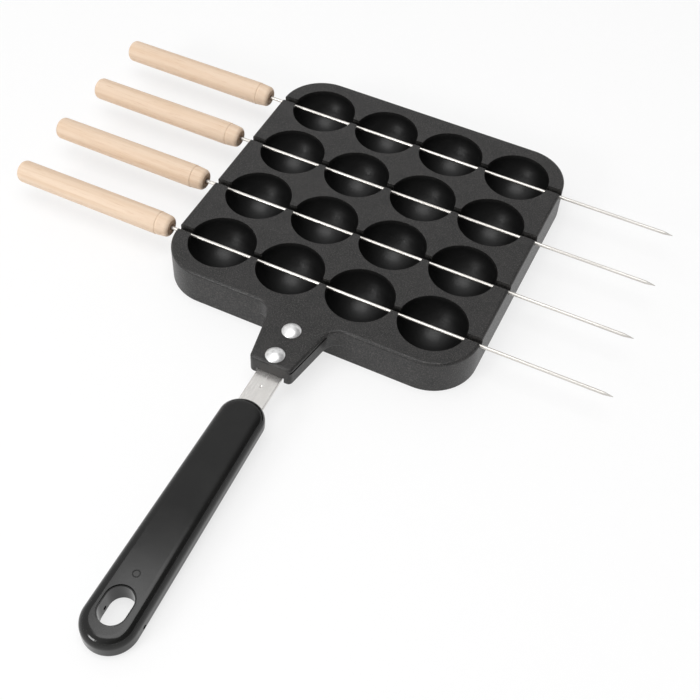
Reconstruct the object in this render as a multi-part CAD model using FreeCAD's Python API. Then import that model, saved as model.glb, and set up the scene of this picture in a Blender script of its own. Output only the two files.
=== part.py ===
import FreeCAD, Part
import os
from math import atan2, cos, radians, sin, sqrt, tan

# Takoyaki maker: a cast plate with rows of round cups, a riveted handle,
# and one long skewer lying in a groove along each row of cups.
# Millimetres. +Z up, origin below the plate's centre, level with the rim it rests on,
# the handle runs towards -Y and the skewers point along +X.

# Cups and plate
cups_per_side = 4
cup_pitch = 43.0
cup_radius = 19.5
cup_wall = 3.0
plate_margin = 28.2            # from the outer cup centres to the plate's edge
plate_height = 23.0
plate_corner_radius = 26.5
deck_thickness = 5.0
skirt_thickness = 4.0
plate_top_round = 1.6
plate_bottom_round = 0.8
cavity_top_round = 2.0

# Skewer grooves
groove_width = 4.0
needle_depth = 3.8             # needle axis below the plate's top
needle_seat_gap = 0.3
groove_rib_width = 10.0
groove_rib_floor = 3.0         # metal left under the groove

# Skewers
needle_radius = 1.0
needle_tip_overhang = 71.3     # tip beyond the plate's edge
skewer_shifts = (2.5, 0.5, 0.0, -2.0)  # how far along X each loose skewer lies
needle_cone_length = 5.0
needle_point_radius = 0.2
needle_embed = 45.0            # length held inside the wood
wood_standoff = 7.3            # wooden handle's front from the plate's edge
wood_length = 103.5
wood_front_radius = 6.9
wood_butt_radius = 6.6
wood_nose_radius = 6.3
wood_nose_length = 7.6         # from the front face to the turned line
wood_nose_round = 2.8
wood_line_width = 0.8
wood_line_depth = 0.35
wood_butt_round = 3.4
wood_sink_radius = 2.3         # countersink round the needle
wood_sink_depth = 1.2
wood_bore_gap = 0.05

# Tab cast on the front edge
tab_reach = 36.5               # tab's end from the plate's edge
tab_height = 12.3
tab_root_half_width = 18.6
tab_end_half_width = 12.0
tab_cheek = 3.8
tab_web = 8.0
tab_root_fillet = 9.0
tab_corner_round = 2.6
tab_cheek_round = 1.4
tab_channel_inset = 5.0        # channel's inner end from the plate's edge
tab_groove_start = 5.5         # side groove's inner end from the plate's edge
tab_groove_drop = 1.9          # side groove's upper edge below the plate's top
tab_groove_width = 1.5
tab_groove_depth = 0.9

# Rivets
rivet_offsets = (11.8, 30.3)   # from the plate's edge
rivet_head_radius = 5.25
rivet_head_height = 2.5
rivet_shank_radius = 2.5
rivet_tail_radius = 4.2
rivet_tail_height = 1.6
rivet_tail_round = 0.6
rivet_hole_gap = 0.1

# Steel tang
tang_width = 14.4
tang_thickness = 2.2
tang_inner_end = 6.0           # from the plate's edge
tang_bend_gap = 0.5            # flat left past the last rivet's tail before the bend
tang_slope = 3.5               # degrees down towards the grip
tang_in_grip = 38.0
tang_edge_round = 0.4
dimple_offset = 46.0
dimple_radius = 0.8
dimple_depth = 0.4

# Moulded grip
grip_start = 56.1              # from the plate's edge
grip_length = 147.8
grip_front_width = 24.9
grip_end_width = 28.6
grip_over_tang = 4.4           # plastic above the tang at the grip's front
grip_under_tang = 3.6
grip_top_end = 12.3
grip_bottom_end = 0.3
grip_nose_depth = 11.4
grip_top_round = 5.2
grip_bottom_round = 1.8
tang_pocket_gap = 0.15
hang_hole_width = 14.0
hang_hole_length = 20.0
hang_hole_from_end = 19.9
hang_lip_width = 0.8
hang_lip_depth = 0.35
cross_hole_radius = 1.1
cross_hole_height = 4.4
cross_hole_past = 3.0          # depth into the far wall
gate_mark_from_end = 37.4
gate_mark_radius = 2.0
gate_mark_width = 0.5
gate_mark_depth = 0.2

# Screw that holds the grip on the tang
screw_from_front = 22.0
screw_radius = 2.0
screw_head_radius = 3.5
screw_head_height = 1.9
screw_sink_gap = 0.3
screw_sink_depth = 1.3
screw_past_tang = 3.0
screw_hole_gap = 0.05
screw_slot_width = 1.1
screw_slot_depth = 0.8
screw_slot_arm = 2.1           # half the length of each slot of the cross

# Worked out from the sizes above
overlap = 1.0                  # how far a cutting tool runs past the metal
tolerance = 0.01               # for telling where an edge lies
cup_span = cup_pitch * (cups_per_side - 1)
plate_half = cup_span / 2 + plate_margin
front_edge = -plate_half
tang_bend = max(rivet_offsets) + rivet_tail_radius + tang_bend_gap
row_centres = [cup_pitch * i - cup_span / 2 for i in range(cups_per_side)]
needle_axis = plate_height - needle_depth
groove_floor = needle_axis - needle_radius - needle_seat_gap
tab_end = front_edge - tab_reach
tab_bottom = plate_height - tab_height
tang_top = plate_height - tab_web
wood_front = -plate_half - wood_standoff
needle_tip = plate_half + needle_tip_overhang
tang_fall = tan(radians(tang_slope))
grip_front = front_edge - grip_start
grip_end = grip_front - grip_length
tang_top_at_grip = tang_top - (grip_start - tang_bend) * tang_fall
grip_top_front = tang_top_at_grip + grip_over_tang
grip_bottom_front = tang_top_at_grip - tang_thickness - grip_under_tang
hang_hole_centre = grip_end + hang_hole_from_end
screw_place = grip_front - screw_from_front

up = FreeCAD.Vector(0, 0, 1)
along_x = FreeCAD.Vector(1, 0, 0)


def point(x, y, z=0.0):
    return FreeCAD.Vector(x, y, z)


def prism(wire, low, high):
    """A flat wire in the XY plane pulled up from low to high."""
    solid = Part.Face(wire).extrude(point(0, 0, high - low))
    solid.translate(point(0, 0, low))
    return solid


def polygon(points):
    return Part.makePolygon(points + [points[0]])


def rounded_square(half, radius):
    """Outline of a square with round corners, centred on the origin."""
    flat = half - radius
    bow = half - radius * (1 - sqrt(0.5))
    edges = []
    for sx, sy, tx, ty in ((1, -1, 1, 1), (1, 1, -1, 1), (-1, 1, -1, -1), (-1, -1, 1, -1)):
        if sx == tx:
            start, corner_in = point(sx * half, sy * flat), point(tx * half, ty * flat)
            corner_out = point(tx * flat, ty * half)
        else:
            start, corner_in = point(sx * flat, sy * half), point(tx * flat, ty * half)
            corner_out = point(tx * half, ty * flat)
        edges.append(Part.LineSegment(start, corner_in).toShape())
        edges.append(Part.Arc(corner_in, point(tx * bow, ty * bow), corner_out).toShape())
    return Part.Wire(edges)


def box(low, high):
    """A box between two opposite corners."""
    size = high - low
    return Part.makeBox(size.x, size.y, size.z, low)


def turned(profile, origin):
    """A closed profile of (distance along X, radius) points turned round the X axis."""
    points = [origin + point(along, 0, radius) for along, radius in profile]
    return Part.Face(polygon(points)).revolve(origin, along_x, 360)


def tab_half_width(distance):
    """Half the tab's width at a distance from the plate's edge."""
    taper = (tab_root_half_width - tab_end_half_width) / tab_reach
    return tab_root_half_width - taper * distance


def tab_block():
    """Tapered tab with flared roots, before its channel is cut."""
    outline = []
    inside = front_edge + skirt_thickness
    lean = atan2(tab_root_half_width - tab_end_half_width, tab_reach)
    tangent = tab_root_fillet * tan((radians(90) - lean) / 2)
    for side in (1, -1):
        root = point(side * tab_root_half_width, front_edge)
        on_edge = point(side * (tab_root_half_width + tangent), front_edge)
        on_side = root + point(-side * sin(lean), -cos(lean)) * tangent
        centre = on_edge + point(0, -tab_root_fillet)
        toward = (root - centre).normalize()
        middle = centre + toward * tab_root_fillet
        end = point(side * tab_end_half_width, tab_end)
        outline.append((on_edge, middle, on_side, end))
    right, left = outline
    edges = [
        Part.LineSegment(point(right[0].x, inside), right[0]).toShape(),
        Part.Arc(right[0], right[1], right[2]).toShape(),
        Part.LineSegment(right[2], right[3]).toShape(),
        Part.LineSegment(right[3], left[3]).toShape(),
        Part.LineSegment(left[3], left[2]).toShape(),
        Part.Arc(left[2], left[1], left[0]).toShape(),
        Part.LineSegment(left[0], point(left[0].x, inside)).toShape(),
        Part.LineSegment(point(left[0].x, inside), point(right[0].x, inside)).toShape(),
    ]
    block = prism(Part.Wire(edges), tab_bottom, plate_height)
    corners = [e for e in block.Edges if is_upright(e) and near_y(e, tab_end)]
    block = block.makeFillet(tab_corner_round, corners)
    feet = [e for e in block.Edges if lies_at(e, tab_bottom)]
    outside = [e for e in feet if e.BoundBox.YMax < front_edge - tab_cheek_round]
    return block.makeFillet(tab_cheek_round, outside)


def is_upright(edge):
    size = edge.BoundBox
    return size.XLength < tolerance and size.YLength < tolerance


def near_y(edge, y):
    return abs(edge.BoundBox.Center.y - y) < tolerance


def lies_at(edge, z):
    size = edge.BoundBox
    return abs(size.ZMin - z) < tolerance and abs(size.ZMax - z) < tolerance


def plate_body():
    """Outside of the casting: plate and tab in one, with the top edge rounded all round."""
    plate = prism(rounded_square(plate_half, plate_corner_radius), 0, plate_height)
    body = plate.fuse(tab_block()).removeSplitter()
    body = body.makeFillet(plate_top_round, [e for e in body.Edges if lies_at(e, plate_height)])
    feet = [e for e in body.Edges if lies_at(e, 0)]
    return body.makeFillet(plate_bottom_round, feet)


def underside_hollow():
    """Space under the deck, less the cup shells and the ribs below the grooves."""
    half = plate_half - skirt_thickness
    hollow = prism(rounded_square(half, plate_corner_radius - skirt_thickness),
                   -overlap, plate_height - deck_thickness)
    roof = [e for e in hollow.Edges if lies_at(e, plate_height - deck_thickness)]
    hollow = hollow.makeFillet(cavity_top_round, roof)
    kept = []
    for y in row_centres:
        kept.append(box(point(-plate_half, y - groove_rib_width / 2, groove_floor - groove_rib_floor),
                        point(plate_half, y + groove_rib_width / 2, plate_height)))
        for x in row_centres:
            kept.append(Part.makeSphere(cup_radius + cup_wall, point(x, y, plate_height)))
    return hollow.cut(kept)


def groove_tool(y):
    """Round-bottomed groove through the whole plate along X."""
    radius = groove_width / 2
    length = 2 * (plate_half + overlap)
    start = point(-plate_half - overlap, y, groove_floor + radius)
    floor = Part.makeCylinder(radius, length, start, along_x)
    slot = box(start - point(0, radius, 0),
               point(plate_half + overlap, y + radius, plate_height + overlap))
    return floor.fuse(slot)


def tab_channel():
    """Open channel under the tab, as wide as the tab less its two cheeks."""
    inner = tab_channel_inset
    outer = tab_reach + overlap
    corners = []
    for side, distance in ((1, inner), (1, outer), (-1, outer), (-1, inner)):
        corners.append(point(side * (tab_half_width(distance) - tab_cheek), front_edge - distance))
    return prism(polygon(corners), tab_bottom - overlap, tang_top)


def tab_side_groove(side):
    """Narrow groove along one side of the tab, a little below its top edge."""
    lip = point(side * overlap, 0)
    bed = point(-side * tab_groove_depth, 0)
    ends = []
    for distance in (tab_groove_start, tab_reach + overlap):
        ends.append(point(side * tab_half_width(distance), front_edge - distance))
    near, far = ends
    top = plate_height - tab_groove_drop
    return prism(polygon([near + lip, far + lip, far + bed, near + bed]), top - tab_groove_width, top)


def rivet_places():
    return [front_edge - offset for offset in rivet_offsets]


def make_cooking_plate():
    cups = [Part.makeSphere(cup_radius, point(x, y, plate_height)) for x in row_centres for y in row_centres]
    grooves = [groove_tool(y) for y in row_centres]
    holes = [Part.makeCylinder(rivet_shank_radius + rivet_hole_gap, plate_height, point(0, y, tab_bottom))
             for y in rivet_places()]
    body = plate_body().cut(underside_hollow())
    side_grooves = [tab_side_groove(side) for side in (1, -1)]
    return body.cut([tab_channel()] + side_grooves + holes + cups + grooves)


def make_rivet(y):
    """Domed head on top, shank through web and tang, flat tail below the tang."""
    dome_radius = (rivet_head_radius ** 2 + rivet_head_height ** 2) / (2 * rivet_head_height)
    dome = Part.makeSphere(dome_radius, point(0, y, plate_height + rivet_head_height - dome_radius))
    above = Part.makeCylinder(rivet_head_radius, rivet_head_height, point(0, y, plate_height))
    tail_top = tang_top - tang_thickness
    shank = Part.makeCylinder(rivet_shank_radius, plate_height - tail_top, point(0, y, tail_top))
    tail = Part.makeCylinder(rivet_tail_radius, rivet_tail_height, point(0, y, tail_top - rivet_tail_height))
    rim = [e for e in tail.Edges if lies_at(e, tail_top - rivet_tail_height)]
    tail = tail.makeFillet(rivet_tail_round, rim)
    return dome.common(above).fuse([shank, tail]).removeSplitter()


def tang_drop(y):
    """How far the sloping part of the tang has dropped at y."""
    return max(0.0, front_edge - tang_bend - y) * tang_fall


def tang_bar(width, growth, end):
    """The bent bar, its section grown by a gap all round."""
    bend = front_edge - tang_bend
    start = front_edge - tang_inner_end
    across = tang_thickness / cos(radians(tang_slope))
    lean = tang_thickness * tan(radians(tang_slope) / 2)
    half = width / 2 + growth
    side = [
        point(-half, start, tang_top + growth),
        point(-half, bend, tang_top + growth),
        point(-half, end, tang_top - tang_drop(end) + growth),
        point(-half, end, tang_top - tang_drop(end) - across - growth),
        point(-half, bend + lean, tang_top - tang_thickness - growth),
        point(-half, start, tang_top - tang_thickness - growth),
    ]
    return Part.Face(polygon(side)).extrude(point(2 * half, 0, 0))


def tang_far_end():
    return grip_front - tang_in_grip


def make_handle_tang():
    bar = tang_bar(tang_width, 0, tang_far_end())
    sides = [e for e in bar.Edges if e.BoundBox.XLength < tolerance]
    bar = bar.makeFillet(tang_edge_round, [e for e in sides if e.BoundBox.YLength > tang_thickness])
    drills = [Part.makeCylinder(rivet_shank_radius + rivet_hole_gap, plate_height, point(0, y, 0))
              for y in rivet_places()]
    drills.append(Part.makeCylinder(screw_radius + screw_hole_gap, plate_height, point(0, screw_place, 0)))
    dimple_y = front_edge - dimple_offset
    ball = (dimple_radius ** 2 + dimple_depth ** 2) / (2 * dimple_depth)
    surface = tang_top - tang_drop(dimple_y)
    drills.append(Part.makeSphere(ball, point(0, dimple_y, surface - dimple_depth + ball)))
    return bar.cut(drills)


def slot_tool(width, length, centre_y, low, high):
    """Upright oval prism, long along Y."""
    radius = width / 2
    reach = (length - width) / 2
    near, far = centre_y + reach, centre_y - reach
    edges = [
        Part.LineSegment(point(radius, far), point(radius, near)).toShape(),
        Part.Arc(point(radius, near), point(0, near + radius), point(-radius, near)).toShape(),
        Part.LineSegment(point(-radius, near), point(-radius, far)).toShape(),
        Part.Arc(point(-radius, far), point(0, far - radius), point(radius, far)).toShape(),
    ]
    return prism(Part.Wire(edges), low, high)


def grip_height(front, end, y):
    """Height at y of a face that runs straight from front to end."""
    return front + (end - front) * (grip_front - y) / grip_length


def ellipse(centre, across, along):
    """Ring with its half widths along X and Y."""
    reaches = [point(across, 0), point(0, along)]
    longer, shorter = sorted(reaches, key=lambda reach: reach.Length, reverse=True)
    return Part.Ellipse(centre + longer, centre + shorter, centre).toShape()


def grip_outline():
    """Plan of the grip: blunt round nose, sides that widen, round end."""
    nose = grip_front_width / 2
    tail = grip_end_width / 2
    nose_y = grip_front - grip_nose_depth
    tail_y = grip_end + tail
    nose_ring = ellipse(point(0, nose_y), nose, grip_nose_depth)
    tail_ring = Part.Circle(point(0, tail_y), up, tail).toShape()
    sides = polygon([point(nose, nose_y), point(tail, tail_y), point(-tail, tail_y), point(-nose, nose_y)])
    return [Part.Face(sides)] + [Part.Face(Part.Wire([ring])) for ring in (nose_ring, tail_ring)]


def grip_shell():
    """Plan pulled upright, then cut to the sloping top and bottom faces and rounded."""
    lift = point(0, 0, grip_top_front + overlap)
    pieces = [face.extrude(lift) for face in grip_outline()]
    plan = pieces[0].fuse(pieces[1:]).removeSplitter()
    half = grip_end_width
    wedge = Part.Face(polygon([
        point(-half, grip_front, grip_top_front),
        point(-half, grip_end, grip_top_end),
        point(-half, grip_end, grip_bottom_end),
        point(-half, grip_front, grip_bottom_front),
    ])).extrude(point(2 * half, 0, 0))
    body = plan.common(wedge)
    top = [e for e in body.Edges if follows(e, grip_top_front, grip_top_end)]
    body = body.makeFillet(grip_top_round, top)
    bottom = [e for e in body.Edges if follows(e, grip_bottom_front, grip_bottom_end)]
    return body.makeFillet(grip_bottom_round, bottom)


def follows(edge, front, end):
    """True for an edge whose ends lie in the face that runs from front to end."""
    return all(abs(v.Z - grip_height(front, end, v.Y)) < tolerance for v in edge.Vertexes)


def gate_mark():
    """Shallow ring left by the moulding gate."""
    y = grip_end + gate_mark_from_end
    low = grip_height(grip_top_front, grip_top_end, y) - gate_mark_depth
    outer = Part.makeCylinder(gate_mark_radius, plate_height, point(0, y, low))
    inner = Part.makeCylinder(gate_mark_radius - gate_mark_width, plate_height, point(0, y, low))
    return outer.cut(inner)


def make_grip():
    hole_top = grip_height(grip_top_front, grip_top_end, hang_hole_centre)
    lip_width = hang_hole_width + 2 * hang_lip_width
    lip_length = hang_hole_length + 2 * hang_lip_width
    pocket = tang_bar(tang_width, tang_pocket_gap, tang_far_end() - tang_pocket_gap)
    reach = hang_hole_width / 2 + cross_hole_past
    cross = Part.makeCylinder(cross_hole_radius, grip_end_width + reach,
                              point(-reach, hang_hole_centre, cross_hole_height), along_x)
    under = grip_height(grip_bottom_front, grip_bottom_end, screw_place)
    sink = Part.makeCylinder(screw_head_radius + screw_sink_gap, plate_height,
                             point(0, screw_place, under + screw_sink_depth - plate_height))
    drill = Part.makeCylinder(screw_radius + screw_hole_gap, screw_length() + screw_hole_gap,
                              point(0, screw_place, under + screw_sink_depth))
    tools = [
        slot_tool(hang_hole_width, hang_hole_length, hang_hole_centre, -overlap, plate_height),
        slot_tool(lip_width, lip_length, hang_hole_centre, hole_top - hang_lip_depth, plate_height),
        pocket, cross, sink, drill, gate_mark(),
    ]
    return grip_shell().cut(tools)


def screw_length():
    """Shank from the counterbore's floor to a little above the tang."""
    under = grip_height(grip_bottom_front, grip_bottom_end, screw_place)
    return tang_top - tang_drop(screw_place) + screw_past_tang - under - screw_sink_depth


def make_grip_screw():
    seat = grip_height(grip_bottom_front, grip_bottom_end, screw_place) + screw_sink_depth
    face = seat - screw_head_height
    head = Part.makeCylinder(screw_head_radius, screw_head_height, point(0, screw_place, face))
    rim = [e for e in head.Edges if lies_at(e, face)]
    head = head.makeFillet(screw_head_height / 2, rim)
    shank = Part.makeCylinder(screw_radius, screw_length(), point(0, screw_place, seat))
    slots = []
    for wide, deep in ((screw_slot_arm, screw_slot_width / 2), (screw_slot_width / 2, screw_slot_arm)):
        slots.append(box(point(-wide, screw_place - deep, face - overlap),
                         point(wide, screw_place + deep, face + screw_slot_depth)))
    return head.fuse(shank).removeSplitter().cut(slots)


def make_needle(y, shift):
    """Round wire, blunt in the wood and ground to a short cone at the tip."""
    start = wood_front + shift - needle_embed
    straight = needle_tip + shift - needle_cone_length - start
    origin = point(start, y, needle_axis)
    wire = Part.makeCylinder(needle_radius, straight, origin, along_x)
    cone = Part.makeCone(needle_radius, needle_point_radius, needle_cone_length,
                         origin + point(straight, 0, 0), along_x)
    return wire.fuse(cone).removeSplitter()


def make_wooden_handle(y, shift):
    """Turned handle: profile from the butt to the nose, then the needle's bore."""
    nose = wood_front + shift
    butt = nose - wood_length
    line_front = nose - wood_nose_length
    line_back = line_front - wood_line_width
    line_middle = (line_back + line_front) / 2
    profile = [
        (butt, 0),
        (butt, wood_butt_radius),
        (line_back, wood_front_radius),
        (line_middle, wood_front_radius - wood_line_depth),
        (line_front, wood_front_radius - wood_line_depth / 2),
        (nose, wood_nose_radius),
        (nose, 0),
    ]
    body = turned(profile, point(0, y, needle_axis))
    body = body.makeFillet(wood_butt_round, [e for e in body.Edges if is_ring_at(e, butt)])
    body = body.makeFillet(wood_nose_round, [e for e in body.Edges if is_ring_at(e, nose)])
    bore = Part.makeCylinder(needle_radius + wood_bore_gap, needle_embed + overlap,
                             point(nose - needle_embed, y, needle_axis), along_x)
    sink = Part.makeCone(needle_radius, wood_sink_radius, wood_sink_depth,
                         point(nose - wood_sink_depth, y, needle_axis), along_x)
    return body.cut([bore, sink])


def is_ring_at(edge, x):
    size = edge.BoundBox
    flat = abs(size.XMin - x) < tolerance and abs(size.XMax - x) < tolerance
    return flat and size.YLength > needle_radius


def build():
    pieces = {
        "cooking_plate": make_cooking_plate(),
        "handle_tang": make_handle_tang(),
        "grip": make_grip(),
        "grip_screw": make_grip_screw(),
    }
    for number, y in enumerate(rivet_places(), 1):
        pieces["rivet_%d" % number] = make_rivet(y)
    for number, (y, shift) in enumerate(zip(row_centres, skewer_shifts), 1):
        pieces["needle_%d" % number] = make_needle(y, shift)
        pieces["wooden_handle_%d" % number] = make_wooden_handle(y, shift)
    return pieces


os.makedirs("parts", exist_ok=True)
for name, shape in build().items():
    solid = shape.Solids[0] if len(shape.Solids) == 1 else shape
    solid.exportStep("parts/%s.step" % name)
    print(name, "solids", len(shape.Solids), "valid", shape.isValid(), "volume", round(shape.Volume, 1))
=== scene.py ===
import math

import bpy
import numpy as np
from mathutils import Matrix, Vector


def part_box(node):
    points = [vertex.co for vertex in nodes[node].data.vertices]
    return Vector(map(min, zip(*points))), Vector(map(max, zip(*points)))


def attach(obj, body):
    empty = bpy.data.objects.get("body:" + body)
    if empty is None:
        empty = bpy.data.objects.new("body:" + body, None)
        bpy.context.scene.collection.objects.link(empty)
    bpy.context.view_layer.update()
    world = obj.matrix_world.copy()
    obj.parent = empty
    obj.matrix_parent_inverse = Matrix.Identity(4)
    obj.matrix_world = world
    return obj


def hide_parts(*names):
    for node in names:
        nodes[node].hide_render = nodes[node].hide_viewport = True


# A takoyaki pan with its four wooden-handled skewers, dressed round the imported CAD.
# All lengths in the dictionaries are millimetres unless their names say otherwise.

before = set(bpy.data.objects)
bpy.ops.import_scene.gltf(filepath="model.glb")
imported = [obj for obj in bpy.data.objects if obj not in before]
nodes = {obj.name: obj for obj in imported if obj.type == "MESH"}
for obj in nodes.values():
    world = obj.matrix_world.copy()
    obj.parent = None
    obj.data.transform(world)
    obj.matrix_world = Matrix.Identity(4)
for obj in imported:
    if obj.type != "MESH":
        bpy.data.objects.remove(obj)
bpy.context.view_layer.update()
mm = 0.001
print("frame loaded:", len(nodes), "nodes")


def hexColour(text):
    # each channel c of an sRGB hex value turned to linear: c / 12.92 or ((c + 0.055) / 1.055) ^ 2.4
    parts = [int(text[i:i + 2], 16) / 255 for i in (1, 3, 5)]
    linear = [c / 12.92 if c <= 0.04045 else ((c + 0.055) / 1.055) ** 2.4 for c in parts]
    return (*linear, 1.0)


def addNode(tree, kind, links=None, values=None, stops=(), **settings):
    # one node with its settings, its socket values, links given as {socket: (node, output)},
    # and on a colour ramp its two stops, each a position and a linear colour
    node = tree.nodes.new(kind)
    for name, value in settings.items():
        setattr(node, name, value)
    for name, value in (values or {}).items():
        node.inputs[name].default_value = value
    for name, (source, output) in (links or {}).items():
        tree.links.new(source.outputs[output], node.inputs[name])
    if stops:
        for element, (position, colour) in zip(node.color_ramp.elements, stops):
            element.position = position
            element.color = colour
    return node


def newMaterial(name, sockets):
    # a material whose Principled shader has these sockets set straight on it
    material = bpy.data.materials.new(name)
    material.use_nodes = True
    tree = material.node_tree
    shader = tree.nodes["Principled BSDF"]
    for socket, value in sockets.items():
        shader.inputs[socket].default_value = value
    place = addNode(tree, "ShaderNodeTexCoord")
    return material, tree, shader, place


def alongGrain(tree, place, sizes):
    # Object coordinates divided by the grain's size in millimetres along each axis
    scale = tuple(1 / (size * mm) for size in sizes)
    return addNode(tree, "ShaderNodeMapping", {"Vector": (place, "Object")}, {"Scale": scale})


noiseSpan = (0.3, 0.7)   # nearly all values of a noise lie between these


def varyRoughness(tree, shader, noise, start, end):
    # roughness = start + (end - start) * t, where t runs from 0 to 1 over the noise's span
    spread = addNode(tree, "ShaderNodeMapRange", {"Value": (noise, "Fac")},
                     {"From Min": noiseSpan[0], "From Max": noiseSpan[1],
                      "To Min": start, "To Max": end})
    tree.links.new(spread.outputs["Result"], shader.inputs["Roughness"])


def addRelief(tree, shader, noise, strength, depth):
    # tilts the surface by the slope of noise * depth, a height in millimetres, times strength
    bump = addNode(tree, "ShaderNodeBump", {"Height": (noise, "Fac")},
                   {"Strength": strength, "Distance": depth * mm})
    tree.links.new(bump.outputs["Normal"], shader.inputs["Normal"])


coatingLook = {
    # cup is painted shade: the darker colour drawn in the cups and grooves
    "dark": "#1c1c1c", "light": "#272626", "fleck": "#4b4947", "cup": "#0d0d0d",
    "fleckSize": 0.55, "mottleSize": 9.0, "roughness": (0.3, 0.46), "bumpDepth": 0.07,
    "gritSize": 1.6, "gritDepth": 0.14, "bumpStrength": 0.35,
    "cupPitch": 43.0, "cupRadius": 19.5, "cupField": 85.0, "deckHeight": 23.0, "grooveHalf": 2.1,
    "rimBlend": 0.2, "lipFrom": 0.05, "lipTo": 0.5,
}


def paintedCupShadeMask(tree, place):
    # 1 inside a cup or groove, 0 elsewhere; it places the painted shade in these hollows. x and y
    # are folded to
    # -pitch/2 .. pitch/2 round each cup's centre. A point counts when its folded distance is under
    # the cup's radius, or its folded |y| under grooveHalf, and it lies below the deck and within
    # the field of cups.
    look = coatingLook
    parts = addNode(tree, "ShaderNodeSeparateXYZ", {"Vector": (place, "Object")})
    folded = []
    for axis in ("X", "Y"):
        wrap = addNode(tree, "ShaderNodeMath", {0: (parts, axis)},
                       {1: look["cupPitch"] * mm, 2: 0.0}, operation="WRAP")
        folded.append(addNode(tree, "ShaderNodeMath", {0: (wrap, 0)},
                              {1: look["cupPitch"] * mm / 2}, operation="SUBTRACT"))
    flat = addNode(tree, "ShaderNodeCombineXYZ", {"X": (folded[0], 0), "Y": (folded[1], 0)})
    away = addNode(tree, "ShaderNodeVectorMath", {0: (flat, 0)}, operation="LENGTH")
    radius = look["cupRadius"] * mm
    within = addNode(tree, "ShaderNodeMapRange", {"Value": (away, "Value")},
                     {"From Min": radius + look["rimBlend"] * mm,
                      "From Max": radius - look["rimBlend"] * mm, "To Min": 0.0, "To Max": 1.0})
    top = look["deckHeight"] * mm
    below = addNode(tree, "ShaderNodeMapRange", {"Value": (parts, "Z")},
                    {"From Min": top - look["lipFrom"] * mm,
                     "From Max": top - look["lipTo"] * mm, "To Min": 0.0, "To Max": 1.0})
    offRow = addNode(tree, "ShaderNodeMath", {0: (folded[1], 0)}, operation="ABSOLUTE")
    groove = addNode(tree, "ShaderNodeMath", {0: (offRow, 0)},
                     {1: look["grooveHalf"] * mm}, operation="LESS_THAN")
    either = addNode(tree, "ShaderNodeMath", {0: (within, "Result"), 1: (groove, 0)},
                     operation="MAXIMUM")
    mask = addNode(tree, "ShaderNodeMath", {0: (either, 0), 1: (below, "Result")},
                   operation="MULTIPLY")
    for axis in ("X", "Y"):
        size = addNode(tree, "ShaderNodeMath", {0: (parts, axis)}, operation="ABSOLUTE")
        inField = addNode(tree, "ShaderNodeMath", {0: (size, 0)},
                          {1: look["cupField"] * mm}, operation="LESS_THAN")
        mask = addNode(tree, "ShaderNodeMath", {0: (mask, 0), 1: (inField, 0)},
                       operation="MULTIPLY")
    return mask


def makeSprayedCoating():
    # PTFE non-stick coating sprayed over cast aluminium and baked: charcoal, matt to satin,
    # with a fine orange peel and pale mica flecks. The flecks are 0.1 mm in truth, too fine
    # for the render, so they are drawn 0.55 mm wide.
    look = coatingLook
    material, tree, shader, place = newMaterial("sprayedNonStickCoating",
                                                {"IOR": 1.45, "Specular IOR Level": 0.43})
    fine = addNode(tree, "ShaderNodeTexNoise", {"Vector": (place, "Object")},
                   {"Scale": 1 / (look["fleckSize"] * mm), "Detail": 3.0, "Roughness": 0.6})
    broad = addNode(tree, "ShaderNodeTexNoise", {"Vector": (place, "Object")},
                    {"Scale": 1 / (look["mottleSize"] * mm), "Detail": 4.0, "Roughness": 0.55})
    ground = addNode(tree, "ShaderNodeValToRGB", {"Fac": (broad, "Fac")},
                     stops=[(0.3, hexColour(look["dark"])), (0.75, hexColour(look["light"]))])
    flecks = addNode(tree, "ShaderNodeValToRGB", {"Fac": (fine, "Fac")},
                     stops=[(0.5, (0, 0, 0, 1)), (0.68, (1, 1, 1, 1))])
    colour = addNode(tree, "ShaderNodeMix", {6: (ground, "Color")}, {7: hexColour(look["fleck"])},
                     data_type="RGBA")
    tree.links.new(flecks.outputs["Color"], colour.inputs[0])
    # painted shade: the cups and grooves are drawn darker than the deck, for the shade that falls
    # in these hollows
    cupShaded = addNode(tree, "ShaderNodeMix", {0: (paintedCupShadeMask(tree, place), 0), 6: (colour, 2)},
                     {7: hexColour(look["cup"])}, data_type="RGBA")
    tree.links.new(cupShaded.outputs[2], shader.inputs["Base Color"])
    low, high = look["roughness"]
    varyRoughness(tree, shader, fine, high, low)
    grit = addNode(tree, "ShaderNodeTexNoise", {"Vector": (place, "Object")},
                   {"Scale": 1 / (look["gritSize"] * mm), "Detail": 2.0})
    sandCast = addNode(tree, "ShaderNodeBump", {"Height": (grit, "Fac")},
                       {"Strength": look["bumpStrength"], "Distance": look["gritDepth"] * mm})
    peel = addNode(tree, "ShaderNodeBump",
                   {"Height": (fine, "Fac"), "Normal": (sandCast, "Normal")},
                   {"Strength": look["bumpStrength"], "Distance": look["bumpDepth"] * mm})
    tree.links.new(peel.outputs["Normal"], shader.inputs["Normal"])
    return material


stripLook = {"pale": "#e0dedb", "dull": "#d9d6d3", "lineWidth": 0.6, "lineLength": 25.0,
             "roughness": (0.22, 0.28), "bumpStrength": 0.1, "bumpDepth": 0.004}


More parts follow.
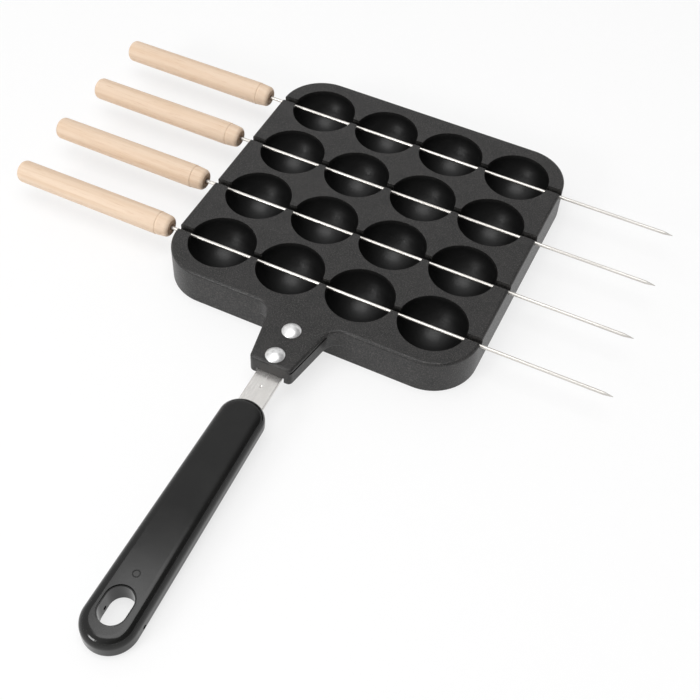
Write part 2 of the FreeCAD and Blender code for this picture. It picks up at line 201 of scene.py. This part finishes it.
def makeRolledSteel():
    # Stainless steel strip, cold rolled and tumbled: a satin metal whose faint lines run
    # along the strip. The rolling lines are drawn 0.6 mm wide, coarser than the real ones.
    look = stripLook
    material, tree, shader, place = newMaterial("rolledSteelStrip", {"Metallic": 1.0})
    grain = alongGrain(tree, place, (look["lineWidth"], look["lineLength"], look["lineWidth"]))
    lines = addNode(tree, "ShaderNodeTexNoise", {"Vector": (grain, "Vector")},
                    {"Scale": 1.0, "Detail": 3.0, "Roughness": 0.6})
    colour = addNode(tree, "ShaderNodeValToRGB", {"Fac": (lines, "Fac")},
                     stops=[(0.3, hexColour(look["dull"])), (0.7, hexColour(look["pale"]))])
    tree.links.new(colour.outputs["Color"], shader.inputs["Base Color"])
    low, high = look["roughness"]
    varyRoughness(tree, shader, lines, low, high)
    addRelief(tree, shader, lines, look["bumpStrength"], look["bumpDepth"])
    return material


phenolicLook = {"dark": "#0d0d0d", "light": "#151514", "flowSize": 22.0, "waveSize": 7.0,
                "waveDepth": 0.02, "waveStrength": 0.25, "roughness": (0.1, 0.17)}


def makePhenolic():
    # Phenolic resin, hot moulded in a polished tool: deep black and glossy, with a slight
    # unevenness of the skin that softens what it mirrors.
    look = phenolicLook
    material, tree, shader, place = newMaterial("mouldedPhenolic",
                                                {"IOR": 1.5, "Specular IOR Level": 0.38})
    flow = addNode(tree, "ShaderNodeTexNoise", {"Vector": (place, "Object")},
                   {"Scale": 1 / (look["flowSize"] * mm), "Detail": 5.0, "Roughness": 0.6})
    colour = addNode(tree, "ShaderNodeValToRGB", {"Fac": (flow, "Fac")},
                     stops=[(0.3, hexColour(look["dark"])), (0.7, hexColour(look["light"]))])
    tree.links.new(colour.outputs["Color"], shader.inputs["Base Color"])
    low, high = look["roughness"]
    varyRoughness(tree, shader, flow, low, high)
    wave = addNode(tree, "ShaderNodeTexNoise", {"Vector": (place, "Object")},
                   {"Scale": 1 / (look["waveSize"] * mm), "Detail": 1.0})
    addRelief(tree, shader, wave, look["waveStrength"], look["waveDepth"])
    return material


brightMetals = {
    # aluminium rivets, their heads pressed in a polished snap: nearly white, with soft blotches
    # drawn 2.2 mm wide, coarser than the real ones
    "pressedAluminium": {"pale": "#fafafa", "dull": "#d6d6d6", "grain": (2.2, 2.2, 2.2),
                         "roughness": (0.34, 0.46)},
    # stainless wire, drawn through a die and polished: bright, with faint streaks along it,
    # drawn 0.6 mm wide, coarser than the real ones
    "drawnStainlessWire": {"pale": "#d8d5d0", "dull": "#c4c0bb", "grain": (40.0, 0.6, 0.6),
                           "roughness": (0.36, 0.48)},
    # carbon steel screw, plated with zinc in a barrel: grey, with a slight blotch
    "zincPlatedSteel": {"pale": "#c4c6c9", "dull": "#94979b", "grain": (1.0, 1.0, 1.0),
                        "roughness": (0.28, 0.42)},
}
brightRelief = {"strength": 0.1, "depth": 0.01}


def makeBrightMetal(name):
    # A pressed, drawn or plated metal: pale all over, with small duller marks of the grain's
    # size along each axis, where a tool or a die has rubbed it.
    look = brightMetals[name]
    material, tree, shader, place = newMaterial(name, {"Metallic": 1.0})
    grain = alongGrain(tree, place, look["grain"])
    marks = addNode(tree, "ShaderNodeTexNoise", {"Vector": (grain, "Vector")},
                    {"Scale": 1.0, "Detail": 3.0, "Roughness": 0.5})
    colour = addNode(tree, "ShaderNodeValToRGB", {"Fac": (marks, "Fac")},
                     stops=[(0.32, hexColour(look["dull"])), (0.55, hexColour(look["pale"]))])
    tree.links.new(colour.outputs["Color"], shader.inputs["Base Color"])
    low, high = look["roughness"]
    varyRoughness(tree, shader, marks, high, low)
    addRelief(tree, shader, marks, brightRelief["strength"], brightRelief["depth"])
    return material


woodLook = {
    "early": "#e3ccb5", "late": "#dabfa4", "pore": "#caa787", "end": "#b99a80",
    "ringWidth": 2.6, "ringLength": 90.0, "poreWidth": 0.5, "poreLength": 9.0,
    "roughness": (0.5, 0.62), "bumpStrength": 0.4, "bumpDepth": 0.03,
}


def makeTurnedBirch():
    # Birch dowel, turned and sanded, left bare: creamy, with faint bands of late wood and
    # short fine pores along the dowel. The pores are drawn 0.5 mm wide so that they show.
    look = woodLook
    material, tree, shader, place = newMaterial("turnedBirch",
                                                {"IOR": 1.45, "Specular IOR Level": 0.4})
    bands = alongGrain(tree, place, (look["ringLength"], look["ringWidth"], look["ringWidth"]))
    rings = addNode(tree, "ShaderNodeTexNoise", {"Vector": (bands, "Vector")},
                    {"Scale": 1.0, "Detail": 3.0, "Roughness": 0.5, "Distortion": 0.6})
    ground = addNode(tree, "ShaderNodeValToRGB", {"Fac": (rings, "Fac")},
                     stops=[(0.35, hexColour(look["early"])), (0.7, hexColour(look["late"]))])
    threads = alongGrain(tree, place, (look["poreLength"], look["poreWidth"], look["poreWidth"]))
    pores = addNode(tree, "ShaderNodeTexNoise", {"Vector": (threads, "Vector")},
                    {"Scale": 1.0, "Detail": 2.0, "Roughness": 0.5})
    marks = addNode(tree, "ShaderNodeValToRGB", {"Fac": (pores, "Fac")},
                    stops=[(0.58, (0, 0, 0, 1)), (0.8, (0.7, 0.7, 0.7, 1))])
    colour = addNode(tree, "ShaderNodeMix", {"Factor": (marks, "Color"), "A": (ground, "Color")},
                     {"B": hexColour(look["pore"])}, data_type="RGBA")
    # end grain drinks in more and looks darker: the attribute is 1 on the cut ends
    cut = addNode(tree, "ShaderNodeAttribute", attribute_name="endGrain")
    ends = addNode(tree, "ShaderNodeMix", {"Factor": (cut, "Fac"), "A": (colour, "Result")},
                   {"B": hexColour(look["end"])}, data_type="RGBA")
    tree.links.new(ends.outputs["Result"], shader.inputs["Base Color"])
    low, high = look["roughness"]
    varyRoughness(tree, shader, pores, low, high)
    addRelief(tree, shader, pores, look["bumpStrength"], look["bumpDepth"])
    return material


coating = makeSprayedCoating()
rolledSteel = makeRolledSteel()
phenolic = makePhenolic()
birch = makeTurnedBirch()
rivetAluminium = makeBrightMetal("pressedAluminium")
drawnWire = makeBrightMetal("drawnStainlessWire")
zincSteel = makeBrightMetal("zincPlatedSteel")
print("materials made")


def gridFaces(rows, columns):
    # quads of a grid of rows points by columns points whose columns close into a ring
    i = np.arange(rows - 1)[:, None] * columns
    j = np.arange(columns)[None, :]
    k = (j + 1) % columns
    return np.stack([i + j, i + k, i + columns + k, i + columns + j], axis=-1).reshape(-1, 4)


def meshPiece(name, points, faces, material, body, node, sharpAngle=30.0):
    # numpy points and faces put into a mesh that rides on its body and stands for its node
    mesh = bpy.data.meshes.new(name)
    mesh.from_pydata(points.tolist(), [], faces)
    mesh.update()
    mesh.materials.append(material)
    mesh.polygons.foreach_set("use_smooth", np.ones(len(mesh.polygons), bool))
    piece = bpy.data.objects.new(name, mesh)
    bpy.context.scene.collection.objects.link(piece)
    mesh.set_sharp_from_angle(angle=math.radians(sharpAngle))
    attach(piece, body)
    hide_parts(node)
    return piece


def arc(centre, radius, fromDegrees, toDegrees, steps):
    # points centre + radius * (cos a, sin a) as a runs between two angles
    a = np.radians(np.linspace(fromDegrees, toDegrees, steps))
    return np.stack([centre[0] + radius * np.cos(a), centre[1] + radius * np.sin(a)], axis=1)


def straight(start, end, steps):
    # points start + (end - start) * t with t from 0 to 1
    t = np.linspace(0, 1, steps)[:, None]
    return np.array(start) * (1 - t) + np.array(end) * t


def lathe(profile, segments, alongX):
    # a profile of (distance, radius) carried round an axis: point (d, r cos a, r sin a) along X,
    # or (r cos a, r sin a, d) along Z; the profile starts and ends on the axis, in one pole each
    a = np.linspace(0, 2 * math.pi, segments, endpoint=False)
    d, r = profile[1:-1, 0][:, None], profile[1:-1, 1][:, None]
    level = d + 0 * a
    across, upward = r * np.cos(a), r * np.sin(a)
    ring = (level, across, upward) if alongX else (across, upward, level)
    points = np.stack(ring, axis=-1).reshape(-1, 3)
    ends = np.zeros((2, 3))
    ends[:, 0 if alongX else 2] = profile[[0, -1], 0]
    count = len(points)
    last = count - segments
    j = np.arange(segments)
    k = (j + 1) % segments
    faces = gridFaces(len(d), segments).tolist()
    faces += np.stack([np.full(segments, count), k, j], axis=1).tolist()
    faces += np.stack([np.full(segments, count + 1), last + j, last + k], axis=1).tolist()
    return np.concatenate([points, ends]), faces


samePoint = 1e-6   # two profile points closer than this count as one


def withoutRepeats(profile):
    # drops a profile point that lies on the one before it
    gaps = np.linalg.norm(np.diff(profile, axis=0), axis=1)
    return profile[np.concatenate([[True], gaps > samePoint])]


def joined(*runs):
    # runs of profile points put end to end
    return withoutRepeats(np.concatenate([np.atleast_2d(np.array(run, float)) for run in runs]))


woodenHandle = {
    "frontRadius": 6.9, "buttRadius": 6.6, "noseRadius": 6.3, "noseLength": 7.6, "noseRound": 2.8,
    "lineWidth": 0.8, "lineDepth": 0.35, "buttRound": 3.4, "sinkRadius": 2.3, "sinkDepth": 1.2,
    "boreRadius": 1.04, "boreDepth": 45.0, "segments": 96,
    "lineRound": 0.3, "lineHalfFloor": 0.12, "noseDrop": 0.18, "noseLead": 0.4,
    "frontLipDrop": 0.47, "sinkLip": 0.15, "sinkLipDepth": 0.1, "buttGrain": 0.6, "noseGrain": 0.25,
}


def woodenProfile(length):
    # distance runs from the butt, 0, to the nose, length: butt face, round, long taper,
    # turned line, nose, round, countersink, then back down the bore to its floor
    h = woodenHandle
    front, butt, nose = h["frontRadius"], h["buttRadius"], h["noseRadius"]
    br, nr, lr = h["buttRound"], h["noseRound"], h["lineRound"]
    bore, sinkTop = h["boreRadius"], length - h["sinkDepth"]
    lineFront = length - h["noseLength"]
    lineBack = lineFront - h["lineWidth"]
    lineMiddle = (lineFront + lineBack) / 2
    floor = front - h["lineDepth"]
    half = h["lineHalfFloor"]
    return joined(
        (0, 0),
        straight((0, 1), (0, butt - br), 4),
        arc((br, butt - br), br, 180, 90, 14),
        straight((br, butt), (lineBack - lr, front), 90),
        arc((lineBack - lr, front - lr), lr, 90, 30, 5),
        straight((lineMiddle - half, floor), (lineMiddle + half, floor), 3),
        arc((lineFront + lr, front - h["frontLipDrop"]), lr, 150, 95, 5),
        straight((lineFront + h["noseLead"], front - h["noseDrop"]), (length - nr, nose), 12),
        arc((length - nr, nose - nr), nr, 90, 0, 14),
        straight((length, nose - nr), (length, h["sinkRadius"] + h["sinkLip"]), 3),
        (length - h["sinkLipDepth"], h["sinkRadius"]),
        (sinkTop, bore),
        straight((sinkTop, bore), (length - h["boreDepth"], bore), 4),
        (length - h["boreDepth"], 0),
    )


def centreLine(low, high):
    # the start of a node's axis along X: its box's low end, and its middle across
    return np.array([low.x, (low.y + high.y) / 2, (low.z + high.z) / 2])


def makeWoodenHandle(number):
    # the profile turned round X; endGrain is 1 on the two end faces and inside the bore
    h = woodenHandle
    low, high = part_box("wooden_handle_%d" % number)
    length = (high.x - low.x) / mm
    points, faces = lathe(woodenProfile(length), h["segments"], True)
    along, radius = points[:, 0], np.hypot(points[:, 1], points[:, 2])
    ends = (along < h["buttGrain"]) | (along > length - h["noseGrain"])
    inside = (radius < h["sinkRadius"]) & (along > length / 2)
    points = points * mm + centreLine(low, high)
    piece = meshPiece("woodenHandle_%d" % number, points, faces, birch, "skewer_%d" % number,
                      "wooden_handle_%d" % number)
    end = piece.data.attributes.new("endGrain", "FLOAT", "POINT")
    end.data.foreach_set("value", (ends | inside).astype(np.float32))


needleWire = {
    "radius": 1.0, "coneLength": 5.0, "pointRadius": 0.2, "buttBreak": 0.1,
    "shoulderReach": 0.4, "shoulderDrop": 0.03, "coneDrop": 0.09, "segments": 48,
}


def makeNeedle(number):
    # distance runs from the blunt end in the wood to the tip: face, wire, ground cone, tip
    n = needleWire
    low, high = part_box("needle_%d" % number)
    length = (high.x - low.x) / mm
    shoulder = length - n["coneLength"]
    wire, tip, edge, reach = n["radius"], n["pointRadius"], n["buttBreak"], n["shoulderReach"]
    profile = joined(
        (0, 0),
        (0, wire - edge),
        (edge, wire),
        straight((edge, wire), (shoulder - reach, wire), 60),
        (shoulder, wire - n["shoulderDrop"]),
        straight((shoulder + reach, wire - n["coneDrop"]), (length - tip, tip), 10),
        arc((length - tip, 0), tip, 80, 10, 5),
        (length, 0),
    )
    points, faces = lathe(profile, n["segments"], True)
    meshPiece("needle_wire_%d" % number, points * mm + centreLine(low, high), faces, drawnWire,
              "skewer_%d" % number, "needle_%d" % number, 40.0)


for number in (1, 2, 3, 4):
    makeWoodenHandle(number)
    makeNeedle(number)
print("skewers made")


rivet = {
    "headRadius": 5.25, "headHeight": 2.5, "edge": 0.45, "headBreak": 0.12, "shankRadius": 2.5,
    "tailRadius": 4.2, "tailHeight": 1.6, "tailRound": 0.6, "tailCentre": 0.8, "segments": 96,
}


def makeRivet(number):
    # height runs from the tail's flat face up to the crown: tail, shank, then the head's
    # underside, a short upright edge and the dome, an arc of a sphere
    v = rivet
    low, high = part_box("rivet_%d" % number)
    height = (high.z - low.z) / mm
    seat = height - v["headHeight"]
    foot = v["headRadius"] - v["headBreak"]
    flat = v["tailRadius"] - v["tailRound"]
    rise = v["headHeight"] - v["edge"]
    ball = (v["headRadius"] ** 2 + rise ** 2) / (2 * rise)
    rimAngle = math.degrees(math.asin((ball - rise) / ball))
    profile = joined(
        (0, 0),
        straight((0, v["tailCentre"]), (0, flat), 4),
        arc((v["tailRound"], flat), v["tailRound"], 180, 90, 7),
        (v["tailHeight"], v["tailRadius"]),
        (v["tailHeight"], v["shankRadius"]),
        (seat, v["shankRadius"]),
        (seat, foot),
        (seat + v["headBreak"], v["headRadius"]),
        arc((height - ball, 0), ball, 90 - rimAngle, 0, 26)[:-1],
        (height, 0),
    )
    points, faces = lathe(profile, v["segments"], False)
    points = points * mm + np.array([(low.x + high.x) / 2, (low.y + high.y) / 2, low.z])
    meshPiece("rivet_head_%d" % number, points, faces, rivetAluminium, "pan",
              "rivet_%d" % number, 40.0)


makeRivet(1)
makeRivet(2)
print("rivets made")


def dress(node, material):
    # gives a CAD node its finish
    nodes[node].data.materials.clear()
    nodes[node].data.materials.append(material)


dress("cooking_plate", coating)
dress("handle_tang", rolledSteel)
dress("grip", phenolic)
dress("grip_screw", zincSteel)
print("CAD nodes dressed")


sweep = {   # metres
    "floorRadius": 1.7, "bend": 0.7, "wall": 0.2, "innerRings": (0.05, 0.6, 1.2),
    "bendSteps": 16, "segments": 96, "white": "#f4f4f4", "fill": 0.72,
}


def makeSweep():
    # a round floor that bends up into a wall: radius R + b sin t, height b (1 - cos t)
    s = sweep
    t = np.radians(np.linspace(0, 90, s["bendSteps"]))
    bend, outer = s["bend"], s["floorRadius"] + s["bend"]
    radius = np.concatenate([s["innerRings"], s["floorRadius"] + bend * np.sin(t), [outer]])
    level = np.zeros(len(s["innerRings"]))
    height = np.concatenate([level, bend * (1 - np.cos(t)), [bend + s["wall"]]])
    a = np.linspace(0, 2 * math.pi, s["segments"], endpoint=False)
    r = radius[:, None]
    points = np.stack([r * np.cos(a), r * np.sin(a), height[:, None] + 0 * a], axis=-1)
    faces = gridFaces(len(radius), len(a))[:, ::-1].tolist() + [list(range(len(a)))]
    mesh = bpy.data.meshes.new("sweep")
    mesh.from_pydata(points.reshape(-1, 3).tolist(), [], faces)
    mesh.polygons.foreach_set("use_smooth", np.ones(len(mesh.polygons), bool))
    material = bpy.data.materials.new("whitePaperSweep")
    material.use_nodes = True
    tree = material.node_tree
    tree.nodes.clear()
    # matt white paper; the camera, gloss and glass also see a share of plain white in it
    paper = addNode(tree, "ShaderNodeBsdfDiffuse", None, {"Color": hexColour(s["white"])})
    glow = addNode(tree, "ShaderNodeEmission", None, {"Color": (1, 1, 1, 1), "Strength": 1.0})
    path = addNode(tree, "ShaderNodeLightPath")
    gloss = addNode(tree, "ShaderNodeMath",
                    {0: (path, "Is Camera Ray"), 1: (path, "Is Glossy Ray")}, operation="ADD")
    seen = addNode(tree, "ShaderNodeMath",
                   {0: (gloss, 0), 1: (path, "Is Transmission Ray")}, operation="ADD")
    share = addNode(tree, "ShaderNodeMath", {0: (seen, 0)}, {1: s["fill"]},
                    operation="MULTIPLY", use_clamp=True)
    both = addNode(tree, "ShaderNodeMixShader", {0: (share, 0), 1: (paper, 0), 2: (glow, 0)})
    # from below the paper isn't there, so that the pan's underside can be looked at
    clear = addNode(tree, "ShaderNodeBsdfTransparent")
    side = addNode(tree, "ShaderNodeNewGeometry")
    last = addNode(tree, "ShaderNodeMixShader",
                   {0: (side, "Backfacing"), 1: (both, 0), 2: (clear, 0)})
    addNode(tree, "ShaderNodeOutputMaterial", {"Surface": (last, 0)})
    mesh.materials.append(material)
    floor = bpy.data.objects.new("sweep", mesh)
    bpy.context.scene.collection.objects.link(floor)


def makeLamp(name, place, aim, width, height, watts):
    # a soft box: a rectangle of light at place that faces aim
    lamp = bpy.data.lights.new(name, "AREA")
    lamp.shape = "RECTANGLE"
    lamp.size = width
    lamp.size_y = height
    lamp.energy = watts
    holder = bpy.data.objects.new(name, lamp)
    bpy.context.scene.collection.objects.link(holder)
    holder.location = place
    holder.rotation_mode = "QUATERNION"
    holder.rotation_quaternion = (Vector(aim) - Vector(place)).to_track_quat("-Z", "Y")


lamps = [   # name, place, aim (metres), width, height (metres), watts
    ("overheadBox", (-0.03, -0.2, 1.5), (-0.03, -0.2, 0.0), 1.11, 0.9, 10.0),
    ("frontLeftBox", (-0.65, -1.35, 0.7), (0.0, 0.0, 0.0), 0.5, 0.36, 8.0),
]
# the room is darker to the right of the pan; the change runs between these two directions
worldLevel = {"left": 0.8, "right": 0.2, "from": -0.4, "to": 0.7}

makeSweep()
for name, place, aim, width, height, watts in lamps:
    makeLamp(name, place, aim, width, height, watts)
world = bpy.data.worlds.new("studio")
bpy.context.scene.world = world
world.use_nodes = True
sky = world.node_tree.nodes["Background"]
sky.inputs["Color"].default_value = (1, 1, 1, 1)
# strength falls from left to right with the x part of the direction
direction = addNode(world.node_tree, "ShaderNodeTexCoord")
acrossRoom = addNode(world.node_tree, "ShaderNodeSeparateXYZ",
                     {"Vector": (direction, "Generated")})
level = addNode(world.node_tree, "ShaderNodeMapRange", {"Value": (acrossRoom, "X")},
                {"From Min": worldLevel["from"], "From Max": worldLevel["to"],
                 "To Min": worldLevel["left"], "To Max": worldLevel["right"]},
                interpolation_type="SMOOTHSTEP")
world.node_tree.links.new(level.outputs["Result"], sky.inputs["Strength"])
bpy.context.scene.view_settings.view_transform = "Standard"

# camera solved from the grid of cups
cameraPlace = {"place": (0.18344, -0.45845, 0.50072), "aim": (0.0295, -0.09322, 0.0115),
               "roll": 3.5, "lens": 60.32, "sensor": 36.0, "nearClip": 0.01}


def makeCamera():
    # looks from place to aim, then turns by roll round its own view
    c = cameraPlace
    data = bpy.data.cameras.new("camera")
    data.sensor_width = c["sensor"]
    data.lens = c["lens"]
    data.clip_start = c["nearClip"]
    holder = bpy.data.objects.new("camera", data)
    bpy.context.scene.collection.objects.link(holder)
    look = (Vector(c["aim"]) - Vector(c["place"])).to_track_quat("-Z", "Y").to_matrix()
    roll = Matrix.Rotation(math.radians(c["roll"]), 3, "Z")
    holder.matrix_world = Matrix.Translation(c["place"]) @ (look @ roll).to_4x4()
    bpy.context.scene.camera = holder


makeCamera()
print("stage, lamps and camera made")
